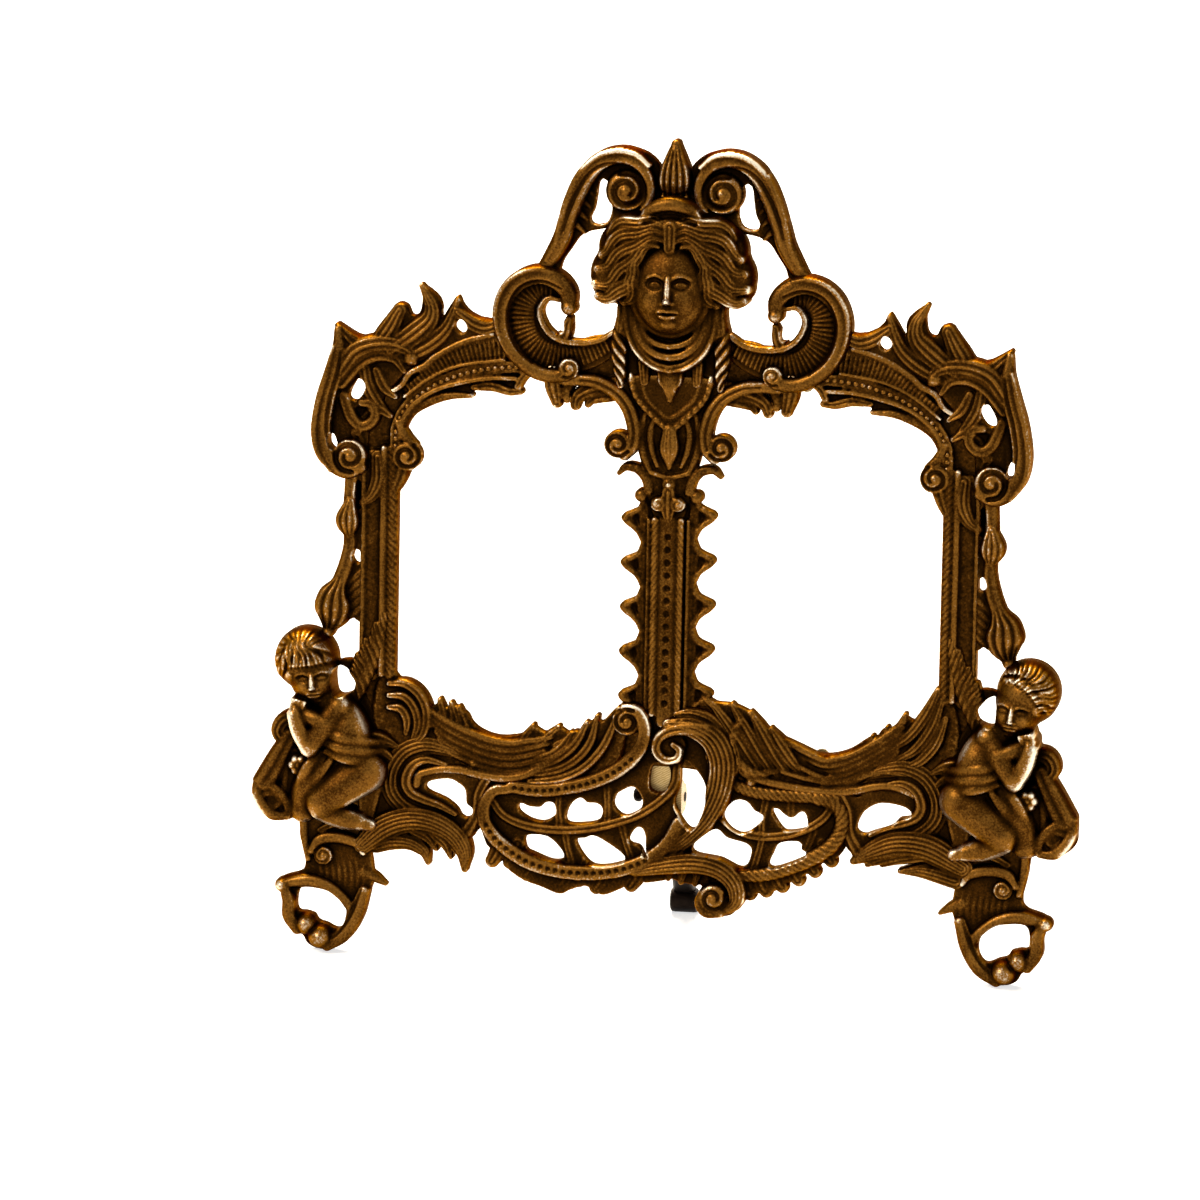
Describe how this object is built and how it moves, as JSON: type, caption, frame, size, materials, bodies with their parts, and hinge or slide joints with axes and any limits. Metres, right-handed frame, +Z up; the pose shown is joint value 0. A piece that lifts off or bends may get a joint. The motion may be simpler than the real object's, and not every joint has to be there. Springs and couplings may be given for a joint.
{
  "type": "double photo frame",
  "caption": "Leaning rococo picture frame in cast bronze with glazed arched windows side by side, mask crest, cherubs, pierced apron and folding easel strut.",
  "frame": {"origin": "centre of the bounding box on the table top", "axes": "+X to the right seen from the front, +Y back towards the strut, +Z up"},
  "size_m": [0.276, 0.0676, 0.2728],
  "materials": {
    "gilt_bronze": "dark brown patina in the hollows, gold rubbed through on the high points",
    "glass": "clear polished",
    "filed_brass": "filed, slightly tarnished",
    "screw_steel": "browned",
    "dark_iron": "blackened, rubbed at the edges"
  },
  "bodies": {
    "frame": {"window_frame": "gilt_bronze", "right_shell_scroll": "gilt_bronze", "left_shell_scroll": "gilt_bronze", "right_corner_scroll": "gilt_bronze", "left_corner_scroll": "gilt_bronze", "crest": "gilt_bronze", "mask": "gilt_bronze", "right_husk_drop": "gilt_bronze", "left_husk_drop": "gilt_bronze", "right_foot": "gilt_bronze", "left_foot": "gilt_bronze", "right_leaf_bracket": "gilt_bronze", "left_leaf_bracket": "gilt_bronze", "right_cherub": "gilt_bronze", "left_cherub": "gilt_bronze", "apron": "gilt_bronze", "right_pane": "glass", "left_pane": "glass", "right_head_screw": "screw_steel", "left_head_screw": "screw_steel", "right_post_screw": "screw_steel", "left_post_screw": "screw_steel", "right_sill_screw": "screw_steel", "left_sill_screw": "screw_steel", "column_screw": "screw_steel", "lower_strap_screw": "screw_steel", "upper_strap_screw": "screw_steel", "hinge_strap": "filed_brass", "hinge_pin": "dark_iron"},
    "strut": {"easel_strut": "dark_iron"},
    "right_head_button": {"right_head_button": "filed_brass"},
    "left_head_button": {"left_head_button": "filed_brass"},
    "right_post_button": {"right_post_button": "filed_brass"},
    "left_post_button": {"left_post_button": "filed_brass"},
    "right_sill_button": {"right_sill_button": "filed_brass"},
    "left_sill_button": {"left_sill_button": "filed_brass"},
    "column_button": {"column_button": "filed_brass"}
  },
  "joints": [
    {"name": "strut_fold", "type": "hinge", "parent": "frame", "child": "strut", "pos_m": [0, -0.00752, 0.05376], "axis": [1, 0, 0], "range_deg": [-42, 0]},
    {"name": "right_head_button_turn", "type": "hinge", "parent": "frame", "child": "right_head_button", "pos_m": [0.044, 0.01384, 0.20078], "axis": [0, 0.9848, -0.1736], "range_deg": [0, 90]},
    {"name": "left_head_button_turn", "type": "hinge", "parent": "frame", "child": "left_head_button", "pos_m": [-0.044, 0.01384, 0.20078], "axis": [0, 0.9848, -0.1736], "range_deg": [-90, 0]},
    {"name": "right_post_button_turn", "type": "hinge", "parent": "frame", "child": "right_post_button", "pos_m": [0.0995, -0.00032, 0.12052], "axis": [0, 0.9848, -0.1736], "range_deg": [0, 90]},
    {"name": "left_post_button_turn", "type": "hinge", "parent": "frame", "child": "left_post_button", "pos_m": [-0.0995, -0.00032, 0.12052], "axis": [0, 0.9848, -0.1736], "range_deg": [-90, 0]},
    {"name": "right_sill_button_turn", "type": "hinge", "parent": "frame", "child": "right_sill_button", "pos_m": [0.052, -0.01013, 0.06488], "axis": [0, 0.9848, -0.1736], "range_deg": [0, 90]},
    {"name": "left_sill_button_turn", "type": "hinge", "parent": "frame", "child": "left_sill_button", "pos_m": [-0.052, -0.01013, 0.06488], "axis": [0, 0.9848, -0.1736], "range_deg": [-90, 0]},
    {"name": "column_button_turn", "type": "hinge", "parent": "frame", "child": "column_button", "pos_m": [0, -0.00066, 0.11855], "axis": [0, 0.9848, -0.1736], "range_deg": [0, 90]}
  ]
}
